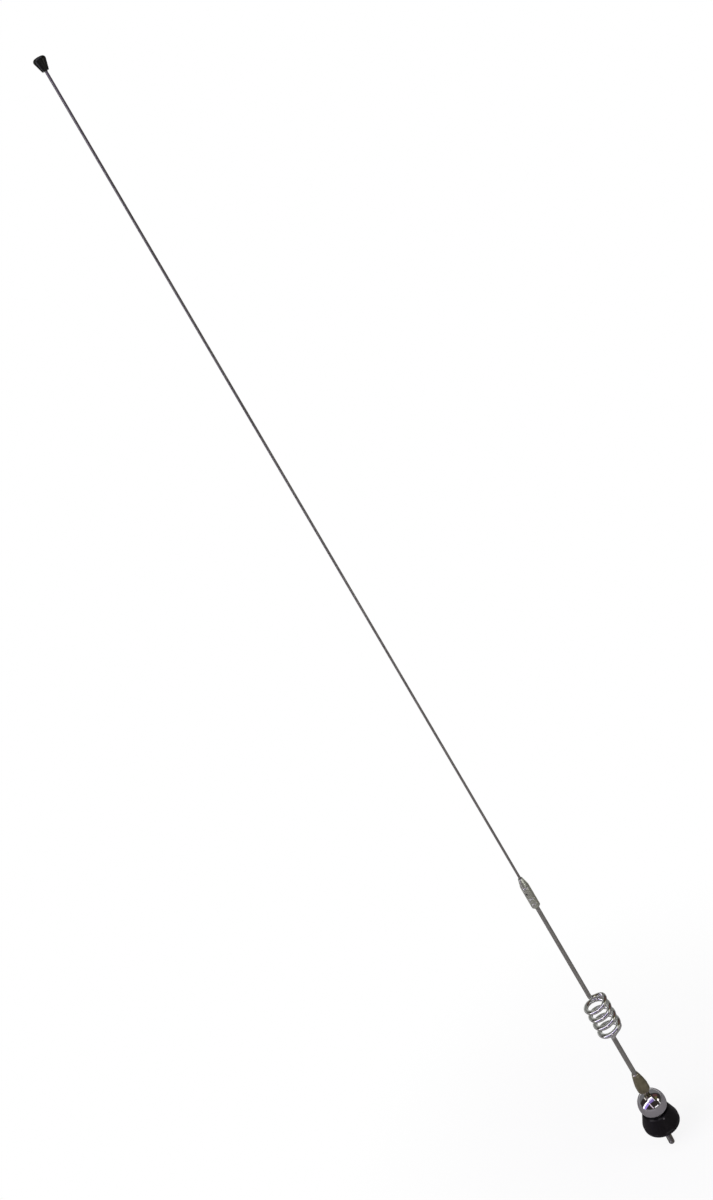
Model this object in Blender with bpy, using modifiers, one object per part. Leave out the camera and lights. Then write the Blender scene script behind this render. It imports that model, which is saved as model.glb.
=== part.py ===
"""A whip antenna for a car's fender: a taper-ground whip, a mast with an open coil and a swivelling ball.

Metres, +Z up. The origin is on the clamp bolt's axis, in the plane where the gasket meets the fender.
The mast, from the ball to the tip cap, is drawn upright about the ball's centre and then leans with it.
"""

import math

import bmesh
import bpy
from mathutils import Matrix, Vector

# Clearances
SEAT_GAP = 0.0003  # between a piece and the face that it rests on
FIT_CLEARANCE = 0.00015  # all round a rod or screw that is held in its bore
RUNNING_CLEARANCE = 0.0003  # all round the clamp bolt, which turns

# Foot: gasket, insulating bush and moulded cone
FOOT_RADIUS = 0.0187
GASKET_THICKNESS = 0.0018
BUSH_RADIUS = 0.006
BUSH_SPIGOT = 0.0025  # what stands below the gasket, in the fender's hole
BUSH_SEAT_DEPTH = 0.004  # how far the bush reaches up into the cone
CONE_FLOOR = 0.0100  # height of the cone from its underside to the lowest point of its cup
CUP_DEPTH = 0.0058
RIM_WALL = 0.0021
FOOT_LIP = 0.0016
CONE_WALL = 0.0024
BOSS_WALL = 0.0025
CORE_DEPTH = 0.0065  # how deep the underside is cored out
RIB_THICKNESS = 0.0016
RIB_BARS = 3  # each bar crosses the underside and makes two ribs

# Clamp bolt and the seat washer under its head
BOLT_RADIUS = 0.003
BOLT_REACH = 0.029  # from the gasket's underside to the bolt's tip
BOLT_TIP_CHAMFER = 0.0008
BOLT_HEAD_RADIUS = 0.005
BOLT_HEAD_HEIGHT = 0.0035
SADDLE_RADIUS = 0.007

# Ball
BALL_RADIUS = 0.0143
BALL_WALL = 0.0027
BALL_FLAT_RADIUS = 0.004
REST_LEAN = math.radians(2.5)  # how far the mast leans towards -X as it is stored
LEAN_LIMIT = math.radians(30)  # either way from upright, set by the slot under the ball

# Ferrule between the ball and the mast
NECK_RADIUS = 0.0028
NECK_LENGTH = 0.0012
SPIGOT_RADIUS = 0.0025
SPIGOT_STAND = 0.0008  # what shows inside the ball
BELLY_RADIUS = 0.00635
LOWER_TAPER = 0.0055
BELLY_LENGTH = 0.0060
UPPER_TAPER = 0.0163
FERRULE_TOP_RADIUS = 0.0032
FERRULE_SOCKET = 0.016
TAPER_SWELL = 1.3  # above 1, the upper taper bulges outwards

# Mast: one taper-ground rod, wound into an open coil
MAST_BOTTOM_RADIUS = 0.00245
MAST_TOP_RADIUS = 0.0020
LOWER_ROD_LENGTH = 0.0502
COIL_RADIUS = 0.0107
COIL_PITCH = 0.01057
COIL_TURNS = 3.87
COIL_LEG_HEIGHT = 0.0071
COIL_OFFSET = 0.0015  # the coil's axis lies this far to +X of the rod's
COIL_BEARING = math.radians(100)  # where the upper leg meets the coil, clockwise from +Y
LEG_DROP = 0.0045  # pull of the leg's bend at the rod
LEG_SWEEP = 0.008  # pull of the leg's bend at the coil
UPPER_ROD_LENGTH = 0.1161

# Coupler and its grub screw
COUPLER_LENGTH = 0.0353
COUPLER_RADIUS = 0.0042
NOSE_LENGTH = 0.0088
NOSE_TIP_RADIUS = 0.0022
TAIL_RADIUS = 0.0025
TAIL_CHAMFER = 0.0020
LOW_GROOVE_RISE = 0.0067
GROOVE_SPACING = 0.0062
GROOVE_WIDTH = 0.0007
GROOVE_DEPTH = 0.0003
MAST_SOCKET = 0.010
SCREW_RADIUS = 0.0010
SCREW_SUNK = 0.0001
SCREW_TURN = math.radians(36)  # from -Y towards -X
SCREW_MARGIN = 0.0015  # from the screw's edge to the bottom of the whip's socket
HEX_ACROSS_FLATS = 0.0009
HEX_DEPTH = 0.0008

# Whip and tip cap
WHIP_LENGTH = 0.7621  # what shows between the coupler and the cap
WHIP_TIP_RADIUS = 0.00108
WHIP_BASE_RADIUS = 0.00118
WHIP_IN_CAP = 0.0065
CAP_LENGTH = 0.0100
CAP_RADIUS = 0.0055
CAP_NECK_RADIUS = 0.0026
CAP_CROWN = 0.0005
CAP_EDGE = 0.0020

# How finely round things are divided
LARGE_STEPS = 40
MEDIUM_STEPS = 28
SMALL_STEPS = 20
FILLET_POINTS = 3
ARC_POINTS = 9
COIL_POINTS_PER_TURN = 24
LEG_POINTS = 12
ROD_BEVEL = 4  # the bevel resolution that gives the mast rod 12 sides
TAPER_POINTS = 8
EDGE_BREAK = 0.0003
MOST_SETBACK = 0.45  # the share of a side that one fillet may take
CUTTER_REACH = 1.3  # how far past the ball its cutters run, in ball radii
MERGE = 1e-6
SMOOTH_ANGLE = math.radians(32)

# Heights of the foot, upwards from the fender
CONE_BOTTOM = GASKET_THICKNESS + SEAT_GAP
CUP_BOTTOM = CONE_BOTTOM + CONE_FLOOR
CUP_RADIUS = BALL_RADIUS + SEAT_GAP
BALL_HEIGHT = CUP_BOTTOM + CUP_RADIUS
RIM_HEIGHT = CUP_BOTTOM + CUP_DEPTH
RIM_DROP = BALL_HEIGHT - RIM_HEIGHT
CUP_EDGE_RADIUS = math.sqrt(CUP_RADIUS**2 - RIM_DROP**2)
RIM_RADIUS = CUP_EDGE_RADIUS + RIM_WALL
BOLT_BORE = BOLT_RADIUS + RUNNING_CLEARANCE

# Heights of the mast, upwards from the ball's centre
BALL_INSIDE = BALL_RADIUS - BALL_WALL
BALL_FLAT = math.sqrt(BALL_RADIUS**2 - BALL_FLAT_RADIUS**2)
FERRULE_BOTTOM = BALL_FLAT + SEAT_GAP
BELLY_BOTTOM = FERRULE_BOTTOM + NECK_LENGTH + LOWER_TAPER
BELLY_TOP = BELLY_BOTTOM + BELLY_LENGTH
FERRULE_TOP = BELLY_TOP + UPPER_TAPER
COIL_BOTTOM = FERRULE_TOP + LOWER_ROD_LENGTH
COIL_HEIGHT = COIL_PITCH * COIL_TURNS + 2 * COIL_LEG_HEIGHT
COIL_TOP = COIL_BOTTOM + COIL_HEIGHT
COUPLER_BOTTOM = COIL_TOP + UPPER_ROD_LENGTH
COUPLER_TOP = COUPLER_BOTTOM + COUPLER_LENGTH
NOSE_SHOULDER = COUPLER_TOP - NOSE_LENGTH
LOW_GROOVE = COUPLER_BOTTOM + LOW_GROOVE_RISE
MIDDLE_GROOVE = LOW_GROOVE + GROOVE_SPACING
TOP_GROOVE = NOSE_SHOULDER - GROOVE_WIDTH
SCREW_HEIGHT = (MIDDLE_GROOVE + TOP_GROOVE) / 2
WHIP_BOTTOM = SCREW_HEIGHT - SCREW_RADIUS - SCREW_MARGIN
CAP_BOTTOM = COUPLER_TOP + WHIP_LENGTH
WHIP_TOP = CAP_BOTTOM + WHIP_IN_CAP
CAP_TOP = CAP_BOTTOM + CAP_LENGTH

# Colour, metallic and roughness of each finish
FINISHES = {
    "black_rubber": ((0.012, 0.012, 0.013), 0.0, 0.55),
    "black_plastic": ((0.010, 0.010, 0.011), 0.0, 0.38),
    "nylon": ((0.72, 0.70, 0.64), 0.0, 0.45),
    "chrome": ((0.78, 0.78, 0.80), 1.0, 0.06),
    "stainless_steel": ((0.50, 0.49, 0.47), 1.0, 0.30),
    "bright_rod": ((0.66, 0.65, 0.64), 1.0, 0.16),
    "aged_brass": ((0.42, 0.38, 0.25), 1.0, 0.34),
    "zinc_plate": ((0.55, 0.55, 0.53), 1.0, 0.35),
}


def clear_scene():
    for obj in list(bpy.data.objects):
        bpy.data.objects.remove(obj, do_unlink=True)


def new_collection(name, hidden=False):
    made = bpy.data.collections.new(name)
    bpy.context.scene.collection.children.link(made)
    made.hide_render = hidden
    return made


def finish_material(name):
    colour, metallic, roughness = FINISHES[name]
    material = bpy.data.materials.get(name) or bpy.data.materials.new(name)
    material.use_nodes = True
    shader = material.node_tree.nodes["Principled BSDF"]
    shader.inputs["Base Color"].default_value = (*colour, 1.0)
    shader.inputs["Metallic"].default_value = metallic
    shader.inputs["Roughness"].default_value = roughness
    material.diffuse_color = (*colour, 1.0)
    return material


def filleted(corners, closed=False, points=FILLET_POINTS):
    """An outline of (radius, height, fillet) corners, where a corner with a fillet becomes an arc."""
    outline = []
    count = len(corners)
    for index, (radius, height, fillet) in enumerate(corners):
        corner = Vector((radius, height))
        at_end = not closed and index in (0, count - 1)
        if fillet <= 0 or at_end:
            outline.append(corner)
            continue
        before = Vector(corners[index - 1][:2]) - corner
        after = Vector(corners[(index + 1) % count][:2]) - corner
        half = before.angle(after) / 2
        setback = min(fillet / math.tan(half), MOST_SETBACK * before.length, MOST_SETBACK * after.length)
        fillet = setback * math.tan(half)
        centre = corner + (before.normalized() + after.normalized()).normalized() * fillet / math.sin(half)
        start = corner + before.normalized() * setback - centre
        end = corner + after.normalized() * setback - centre
        turn = start.angle_signed(end)
        for step in range(points + 1):
            share = turn * step / points
            cosine, sine = math.cos(share), math.sin(share)
            outline.append(
                centre + Vector((start.x * cosine + start.y * sine, start.y * cosine - start.x * sine))
            )
    return [tuple(point) for point in outline]


def sphere_arc(radius, centre_height, start_radius, end_radius, below, points=ARC_POINTS):
    """Points of a sphere's section between two distances from its axis, below or above its centre."""
    first = math.asin(min(1.0, start_radius / radius))
    last = math.asin(min(1.0, end_radius / radius))
    side = -1 if below else 1
    for step in range(points + 1):
        angle = first + (last - first) * step / points
        yield radius * math.sin(angle), centre_height + side * radius * math.cos(angle)


def turned(name, outline, steps, closed=False):
    """A turned shape. The outline's outer side runs from top to bottom; a closed outline makes a ring."""
    mesh = bpy.data.meshes.new(name)
    count = len(outline)
    edges = [(i, i + 1) for i in range(count - 1)]
    if closed:
        edges.append((count - 1, 0))
    mesh.from_pydata([(radius, 0.0, height) for radius, height in outline], edges, [])
    obj = bpy.data.objects.new(name, mesh)
    PARTS.objects.link(obj)
    screw = obj.modifiers.new("turn", "SCREW")
    screw.axis = "Z"
    screw.steps = steps
    screw.render_steps = steps
    screw.use_merge_vertices = True
    screw.merge_threshold = MERGE
    return obj


def as_mesh(curve_object):
    """The same shape as a closed mesh object, in place of the curve object."""
    bpy.context.view_layer.update()
    graph = bpy.context.evaluated_depsgraph_get()
    mesh = bpy.data.meshes.new_from_object(curve_object.evaluated_get(graph), depsgraph=graph)
    work = bmesh.new()
    work.from_mesh(mesh)
    bmesh.ops.remove_doubles(work, verts=work.verts, dist=MERGE)
    bmesh.ops.recalc_face_normals(work, faces=work.faces)
    work.to_mesh(mesh)
    work.free()
    name = curve_object.name
    place = curve_object.matrix_world.copy()
    home = curve_object.users_collection[0]
    bpy.data.objects.remove(curve_object, do_unlink=True)
    mesh.name = name
    obj = bpy.data.objects.new(name, mesh)
    obj.matrix_world = place
    home.objects.link(obj)
    return obj


def as_cutter(obj):
    for home in list(obj.users_collection):
        home.objects.unlink(obj)
    CUTTERS.objects.link(obj)
    obj.hide_render = True
    obj.display_type = "WIRE"
    return obj


def cylinder_between(name, start, end, radius, steps):
    """A closed cylinder from one point to another."""
    start, end = Vector(start), Vector(end)
    along = end - start
    work = bmesh.new()
    bmesh.ops.create_cone(
        work, cap_ends=True, segments=steps, radius1=radius, radius2=radius, depth=along.length
    )
    turn = along.to_track_quat("Z", "Y").to_matrix().to_4x4()
    bmesh.ops.transform(work, matrix=Matrix.Translation((start + end) / 2) @ turn, verts=work.verts)
    mesh = bpy.data.meshes.new(name)
    work.to_mesh(mesh)
    work.free()
    obj = bpy.data.objects.new(name, mesh)
    PARTS.objects.link(obj)
    return obj


def bar(name, size, centre, turn):
    """A rectangular bar, turned about Z."""
    work = bmesh.new()
    bmesh.ops.create_cube(work, size=1.0)
    place = Matrix.Rotation(turn, 4, "Z") @ Matrix.Translation(centre) @ Matrix.Diagonal((*size, 1.0))
    bmesh.ops.transform(work, matrix=place, verts=work.verts)
    mesh = bpy.data.meshes.new(name)
    work.to_mesh(mesh)
    work.free()
    obj = bpy.data.objects.new(name, mesh)
    PARTS.objects.link(obj)
    return obj


def cut(obj, cutter):
    modifier = obj.modifiers.new(cutter.name, "BOOLEAN")
    modifier.operation = "DIFFERENCE"
    modifier.solver = "EXACT"
    modifier.object = as_cutter(cutter)


def finished(obj, finish, parent=None):
    """Turns the modifiers into the mesh, shades it, gives it its finish and hangs it on its parent."""
    bpy.context.view_layer.update()
    graph = bpy.context.evaluated_depsgraph_get()
    mesh = bpy.data.meshes.new_from_object(obj.evaluated_get(graph), depsgraph=graph)
    obj.modifiers.clear()
    obj.data = mesh
    mesh.name = obj.name
    mesh.shade_smooth()
    mesh.set_sharp_from_angle(angle=SMOOTH_ANGLE)
    mesh.materials.clear()
    mesh.materials.append(finish_material(finish))
    if parent:
        obj.parent = parent
    return obj


def pivot(name, height, lean=0.0):
    """An empty on the bolt's axis, leaning towards -X."""
    empty = bpy.data.objects.new(name, None)
    empty.location = (0.0, 0.0, height)
    empty.rotation_euler = (0.0, -lean, 0.0)
    empty.empty_display_size = BALL_RADIUS
    PARTS.objects.link(empty)
    return empty


def make_gasket():
    hole = BUSH_RADIUS + RUNNING_CLEARANCE
    corners = [
        (hole, GASKET_THICKNESS, 0),
        (FOOT_RADIUS, GASKET_THICKNESS, EDGE_BREAK),
        (FOOT_RADIUS, 0.0, EDGE_BREAK),
        (hole, 0.0, 0),
    ]
    finished(turned("gasket", filleted(corners, closed=True), LARGE_STEPS, closed=True), "black_rubber")


def make_insulator_bush():
    top = CONE_BOTTOM + BUSH_SEAT_DEPTH
    corners = [
        (BOLT_BORE, top, 0),
        (BUSH_RADIUS, top, EDGE_BREAK),
        (BUSH_RADIUS, -BUSH_SPIGOT, 2 * EDGE_BREAK),
        (BOLT_BORE, -BUSH_SPIGOT, 0),
    ]
    finished(turned("insulator_bush", filleted(corners, closed=True), MEDIUM_STEPS, closed=True), "nylon")


def cone_radius_at(height):
    """The cone's outer radius on its sloping side."""
    foot = CONE_BOTTOM + FOOT_LIP
    return FOOT_RADIUS + (RIM_RADIUS - FOOT_RADIUS) * (height - foot) / (RIM_HEIGHT - foot)


def make_base_cone():
    socket_radius = BUSH_RADIUS + SEAT_GAP
    socket_top = CONE_BOTTOM + BUSH_SEAT_DEPTH + SEAT_GAP
    cup = list(sphere_arc(CUP_RADIUS, BALL_HEIGHT, BOLT_BORE, CUP_EDGE_RADIUS, below=True))
    side = filleted(
        [
            (*cup[-1], 0),
            (RIM_RADIUS, RIM_HEIGHT, 3 * EDGE_BREAK),
            (FOOT_RADIUS, CONE_BOTTOM + FOOT_LIP, 3 * EDGE_BREAK),
            (FOOT_RADIUS, CONE_BOTTOM, EDGE_BREAK),
            (socket_radius, CONE_BOTTOM, 0),
        ]
    )
    outline = cup[:-1] + side + [(socket_radius, socket_top), (BOLT_BORE, socket_top)]
    cone = turned("base_cone", outline, LARGE_STEPS, closed=True)

    core_top = CONE_BOTTOM + CORE_DEPTH
    core_floor = CONE_BOTTOM - CORE_DEPTH
    boss = socket_radius + BOSS_WALL
    core_corners = [
        (boss, core_top, EDGE_BREAK),
        (cone_radius_at(core_top) - CONE_WALL, core_top, 3 * EDGE_BREAK),
        (FOOT_RADIUS - CONE_WALL, CONE_BOTTOM + FOOT_LIP, 0),
        (FOOT_RADIUS - CONE_WALL, core_floor, 0),
        (boss, core_floor, 0),
    ]
    core = turned("underside_core", filleted(core_corners, closed=True), LARGE_STEPS, closed=True)
    for index in range(RIB_BARS):
        size = (4 * FOOT_RADIUS, RIB_THICKNESS, 4 * CORE_DEPTH)
        cut(core, bar(f"rib_bar_{index}", size, (0, 0, CONE_BOTTOM), math.pi * index / RIB_BARS))
    cut(cone, core)
    finished(cone, "black_plastic")


def make_clamp_bolt(parent):
    """Drawn from the ball's centre down; its head's dome clears the inside of the ball."""
    head_bottom = saddle_top() + SEAT_GAP
    head_top = head_bottom + BOLT_HEAD_HEIGHT
    tip = -BALL_HEIGHT - BOLT_REACH
    corners = [
        (0.0, head_top, 0),
        (BOLT_HEAD_RADIUS, head_top, BOLT_HEAD_HEIGHT / 2),
        (BOLT_HEAD_RADIUS, head_bottom, EDGE_BREAK),
        (BOLT_RADIUS, head_bottom, 0),
        (BOLT_RADIUS, tip + BOLT_TIP_CHAMFER, 0),
        (BOLT_RADIUS - BOLT_TIP_CHAMFER, tip, 0),
        (0.0, tip, 0),
    ]
    finished(turned("clamp_bolt", filleted(corners), MEDIUM_STEPS), "zinc_plate", parent)


def saddle_top():
    """The height, from the ball's centre, of the flat that the bolt's head bears on."""
    return -math.sqrt((BALL_INSIDE - SEAT_GAP) ** 2 - SADDLE_RADIUS**2) + EDGE_BREAK


def make_saddle_washer(parent):
    hole = BOLT_RADIUS + FIT_CLEARANCE
    under = list(sphere_arc(BALL_INSIDE - SEAT_GAP, 0.0, SADDLE_RADIUS, hole, below=True, points=6))
    outline = [(hole, saddle_top()), (SADDLE_RADIUS, saddle_top())] + under
    finished(turned("saddle_washer", outline, MEDIUM_STEPS, closed=True), "zinc_plate", parent)


def slot_direction(angle, radius):
    """A point in the slot's plane, by its angle from straight down."""
    return Vector((radius * math.sin(angle), 0.0, -radius * math.cos(angle)))


def slot_sector(inner, outer, half_width):
    """The slot's middle: a flat fan about the ball's centre, between the two limits of the mast's lean."""
    curve = bpy.data.curves.new("slot_sector", "CURVE")
    curve.dimensions = "2D"
    curve.fill_mode = "BOTH"
    curve.extrude = half_width
    angles = [-LEAN_LIMIT + 2 * LEAN_LIMIT * step / ARC_POINTS for step in range(ARC_POINTS + 1)]
    fan = [slot_direction(angle, outer) for angle in angles]
    fan += [slot_direction(angle, inner) for angle in reversed(angles)]
    spline = curve.splines.new("POLY")
    spline.points.add(len(fan) - 1)
    for point, place in zip(spline.points, fan):
        point.co = (place.x, place.z, 0.0, 1.0)
    spline.use_cyclic_u = True
    obj = bpy.data.objects.new("slot_sector", curve)
    obj.rotation_euler = (math.pi / 2, 0.0, 0.0)
    PARTS.objects.link(obj)
    return as_mesh(obj)


def make_ball(parent):
    """A hollow ball with a flat and a tapped hole on top, and a slot below that the bolt runs in."""
    hole = SPIGOT_RADIUS + FIT_CLEARANCE
    inside = list(sphere_arc(BALL_INSIDE, 0.0, 0.0, BALL_INSIDE, below=True))
    inside += list(sphere_arc(BALL_INSIDE, 0.0, BALL_INSIDE, hole, below=False))[1:]
    outside = list(sphere_arc(BALL_RADIUS, 0.0, BALL_FLAT_RADIUS, BALL_RADIUS, below=False))
    outside += list(sphere_arc(BALL_RADIUS, 0.0, BALL_RADIUS, 0.0, below=True))[1:]
    ball = turned("ball", inside + [(hole, BALL_FLAT)] + outside, LARGE_STEPS)
    inner, outer = BALL_INSIDE / 2, BALL_RADIUS * CUTTER_REACH
    cut(ball, slot_sector(inner, outer, BOLT_BORE))
    for side in (-1, 1):
        ends = [slot_direction(side * LEAN_LIMIT, radius) for radius in (inner, outer)]
        cut(ball, cylinder_between(f"slot_end_{side + 2}", *ends, BOLT_BORE, MEDIUM_STEPS))
    finished(ball, "chrome", parent)


def make_ferrule(parent):
    bore = MAST_BOTTOM_RADIUS + FIT_CLEARANCE
    spigot_tip = BALL_INSIDE - SPIGOT_STAND
    bore_floor = FERRULE_TOP - FERRULE_SOCKET
    taper = []
    for step in range(1, TAPER_POINTS):
        share = 1 - step / TAPER_POINTS
        radius = FERRULE_TOP_RADIUS + (BELLY_RADIUS - FERRULE_TOP_RADIUS) * (1 - share**TAPER_SWELL)
        taper.append((radius, BELLY_TOP + share * UPPER_TAPER, 0))
    corners = [
        (0.0, bore_floor, 0),
        (bore, bore_floor, 0),
        (bore, FERRULE_TOP, 0),
        (FERRULE_TOP_RADIUS, FERRULE_TOP, EDGE_BREAK),
        *taper,
        (BELLY_RADIUS, BELLY_TOP, 0),
        (BELLY_RADIUS, BELLY_BOTTOM, 2 * EDGE_BREAK),
        (NECK_RADIUS, FERRULE_BOTTOM + NECK_LENGTH, EDGE_BREAK),
        (NECK_RADIUS, FERRULE_BOTTOM, 0),
        (SPIGOT_RADIUS, FERRULE_BOTTOM, 0),
        (SPIGOT_RADIUS, spigot_tip, EDGE_BREAK),
        (0.0, spigot_tip, 0),
    ]
    finished(turned("ferrule", filleted(corners), MEDIUM_STEPS), "aged_brass", parent)


def coil_point(bearing, height):
    """A point on the coil's centre line; bearings run clockwise from +Y, seen from above."""
    return Vector(
        (COIL_OFFSET + COIL_RADIUS * math.sin(bearing), COIL_RADIUS * math.cos(bearing), height)
    )


def coil_heading(bearing):
    """The way the coil runs at a bearing, going down it."""
    fall = COIL_PITCH / (2 * math.pi)
    return Vector(
        (COIL_RADIUS * math.cos(bearing), -COIL_RADIUS * math.sin(bearing), -fall)
    ).normalized()


def coil_leg(axis_height, axis_heading, rim, rim_heading):
    """Points of a leg that leaves the rod's axis and swings out onto the coil, a cubic curve."""
    start = Vector((0.0, 0.0, axis_height))
    pulls = (start, start + axis_heading * LEG_DROP, rim - rim_heading * LEG_SWEEP, rim)
    points = []
    for step in range(LEG_POINTS):
        share = step / LEG_POINTS
        weights = (
            (1 - share) ** 3,
            3 * share * (1 - share) ** 2,
            3 * share**2 * (1 - share),
            share**3,
        )
        points.append(sum((pull * weight for pull, weight in zip(pulls, weights)), Vector()))
    return points


def mast_route():
    """The mast's centre line, from its end in the coupler down to its end in the ferrule."""
    down, up = Vector((0, 0, -1)), Vector((0, 0, 1))
    upper_rim_height = COIL_TOP - COIL_LEG_HEIGHT
    lower_rim_height = COIL_BOTTOM + COIL_LEG_HEIGHT
    last_bearing = COIL_BEARING + 2 * math.pi * COIL_TURNS
    count = math.ceil(COIL_POINTS_PER_TURN * COIL_TURNS)
    winding = []
    for step in range(count + 1):
        share = step / count
        bearing = COIL_BEARING + (last_bearing - COIL_BEARING) * share
        height = upper_rim_height + (lower_rim_height - upper_rim_height) * share
        winding.append(coil_point(bearing, height))
    upper_leg = coil_leg(COIL_TOP, down, winding[0], coil_heading(COIL_BEARING))
    lower_leg = coil_leg(COIL_BOTTOM, up, winding[-1], -coil_heading(last_bearing))
    top = Vector((0, 0, COUPLER_BOTTOM + MAST_SOCKET - SEAT_GAP))
    bottom = Vector((0, 0, FERRULE_TOP - FERRULE_SOCKET + SEAT_GAP))
    return [top, *upper_leg, *winding, *reversed(lower_leg), bottom]


def make_coil_mast(parent):
    route = mast_route()
    run = [0.0]
    for before, after in zip(route, route[1:]):
        run.append(run[-1] + (after - before).length)
    curve = bpy.data.curves.new("coil_mast", "CURVE")
    curve.dimensions = "3D"
    curve.bevel_depth = MAST_BOTTOM_RADIUS
    curve.bevel_resolution = ROD_BEVEL
    curve.use_fill_caps = True
    spline = curve.splines.new("POLY")
    spline.points.add(len(route) - 1)
    for point, place, length in zip(spline.points, route, run):
        point.co = (*place, 1.0)
        radius = MAST_TOP_RADIUS + (MAST_BOTTOM_RADIUS - MAST_TOP_RADIUS) * length / run[-1]
        point.radius = radius / MAST_BOTTOM_RADIUS
    obj = bpy.data.objects.new("coil_mast", curve)
    PARTS.objects.link(obj)
    finished(as_mesh(obj), "bright_rod", parent)


def groove(height):
    """Corners of a V-shaped ring groove, from its upper edge to its lower one."""
    half = GROOVE_WIDTH / 2
    return [
        (COUPLER_RADIUS, height + half, 0),
        (COUPLER_RADIUS - GROOVE_DEPTH, height, 0),
        (COUPLER_RADIUS, height - half, 0),
    ]


def screw_axis_point(distance):
    """A point on the grub screw's axis, by its distance from the coupler's."""
    return Vector((-distance * math.sin(SCREW_TURN), -distance * math.cos(SCREW_TURN), SCREW_HEIGHT))


def make_coupler(parent):
    whip_bore = WHIP_BASE_RADIUS + FIT_CLEARANCE
    mast_bore = MAST_TOP_RADIUS + FIT_CLEARANCE
    whip_floor = WHIP_BOTTOM - SEAT_GAP
    corners = [
        (0.0, whip_floor, 0),
        (whip_bore, whip_floor, 0),
        (whip_bore, COUPLER_TOP, 0),
        (NOSE_TIP_RADIUS, COUPLER_TOP, EDGE_BREAK),
        (COUPLER_RADIUS, NOSE_SHOULDER, 3 * EDGE_BREAK),
        *groove(TOP_GROOVE),
        *groove(MIDDLE_GROOVE),
        *groove(LOW_GROOVE),
        (COUPLER_RADIUS, COUPLER_BOTTOM + TAIL_CHAMFER, 0),
        (TAIL_RADIUS, COUPLER_BOTTOM, 0),
        (mast_bore, COUPLER_BOTTOM, 0),
        (mast_bore, COUPLER_BOTTOM + MAST_SOCKET, 0),
        (0.0, COUPLER_BOTTOM + MAST_SOCKET, 0),
    ]
    coupler = turned("coupler", filleted(corners), MEDIUM_STEPS)
    start = screw_axis_point(2 * COUPLER_RADIUS)
    end = screw_axis_point(whip_bore / 2)
    cut(coupler, cylinder_between("screw_hole", start, end, SCREW_RADIUS + FIT_CLEARANCE, SMALL_STEPS))
    finished(coupler, "stainless_steel", parent)


def make_coupler_screw(parent):
    """A grub screw that stops just short of the whip."""
    face_distance = COUPLER_RADIUS - SCREW_SUNK
    face = screw_axis_point(face_distance)
    tip = screw_axis_point(WHIP_BASE_RADIUS + SEAT_GAP)
    screw = cylinder_between("coupler_screw", face, tip, SCREW_RADIUS, SMALL_STEPS)
    hex_radius = HEX_ACROSS_FLATS / math.sqrt(3)
    mouth = screw_axis_point(face_distance + HEX_DEPTH)
    floor = screw_axis_point(face_distance - HEX_DEPTH)
    cut(screw, cylinder_between("hex_socket", mouth, floor, hex_radius, 6))
    finished(screw, "zinc_plate", parent)


def make_whip(parent):
    corners = [
        (0.0, WHIP_TOP, 0),
        (WHIP_TIP_RADIUS, WHIP_TOP, EDGE_BREAK),
        (WHIP_BASE_RADIUS, COUPLER_TOP, 0),
        (WHIP_BASE_RADIUS, WHIP_BOTTOM, EDGE_BREAK),
        (0.0, WHIP_BOTTOM, 0),
    ]
    finished(turned("whip", filleted(corners), SMALL_STEPS), "stainless_steel", parent)


def make_tip_cap(parent):
    bore = max(WHIP_TIP_RADIUS, WHIP_BASE_RADIUS) + FIT_CLEARANCE
    bore_top = WHIP_TOP + SEAT_GAP
    corners = [
        (0.0, CAP_TOP, 0),
        (CAP_RADIUS, CAP_TOP - CAP_CROWN, CAP_EDGE),
        (CAP_NECK_RADIUS, CAP_BOTTOM, 2 * EDGE_BREAK),
        (bore, CAP_BOTTOM, 0),
        (bore, bore_top, 0),
        (0.0, bore_top, 0),
    ]
    outline = filleted(corners, points=2 * FILLET_POINTS)
    finished(turned("tip_cap", outline, MEDIUM_STEPS), "black_rubber", parent)


clear_scene()
PARTS = new_collection("fender_antenna")
CUTTERS = new_collection("cutters", hidden=True)
swivel = pivot("swivel_pivot", BALL_HEIGHT)
mast = pivot("mast_pivot", BALL_HEIGHT, REST_LEAN)

make_gasket()
make_insulator_bush()
make_base_cone()
make_clamp_bolt(swivel)
make_saddle_washer(swivel)
make_ball(mast)
make_ferrule(mast)
make_coil_mast(mast)
make_coupler(mast)
make_coupler_screw(mast)
make_whip(mast)
make_tip_cap(mast)
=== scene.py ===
"""The fender antenna, dressed: smooth turned pieces, a threaded bolt, a wound mast and worn finishes.

Metres, +Z up, in the frame of the solids. The origin is on the clamp bolt's axis, at the fender's face.
The mast's pieces are drawn upright about the ball's centre, and lean with it.
"""

import math

import bmesh
import bpy
from mathutils import Matrix, Vector


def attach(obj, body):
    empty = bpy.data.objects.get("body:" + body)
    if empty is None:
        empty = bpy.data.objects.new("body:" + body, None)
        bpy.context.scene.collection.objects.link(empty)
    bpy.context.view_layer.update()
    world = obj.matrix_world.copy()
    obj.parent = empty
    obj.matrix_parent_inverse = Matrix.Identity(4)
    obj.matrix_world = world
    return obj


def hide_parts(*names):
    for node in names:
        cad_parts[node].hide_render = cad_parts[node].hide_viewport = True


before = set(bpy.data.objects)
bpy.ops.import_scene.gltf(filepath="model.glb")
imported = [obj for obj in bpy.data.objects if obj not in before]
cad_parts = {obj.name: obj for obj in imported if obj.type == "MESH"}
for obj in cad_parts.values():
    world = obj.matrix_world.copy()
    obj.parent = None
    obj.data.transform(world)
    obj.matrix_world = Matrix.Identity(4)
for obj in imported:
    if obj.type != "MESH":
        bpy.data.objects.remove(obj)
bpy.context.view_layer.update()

# Clearances, as in the solids
SEAT_GAP = 0.0003
FIT_CLEARANCE = 0.00015
RUNNING_CLEARANCE = 0.0003

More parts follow.
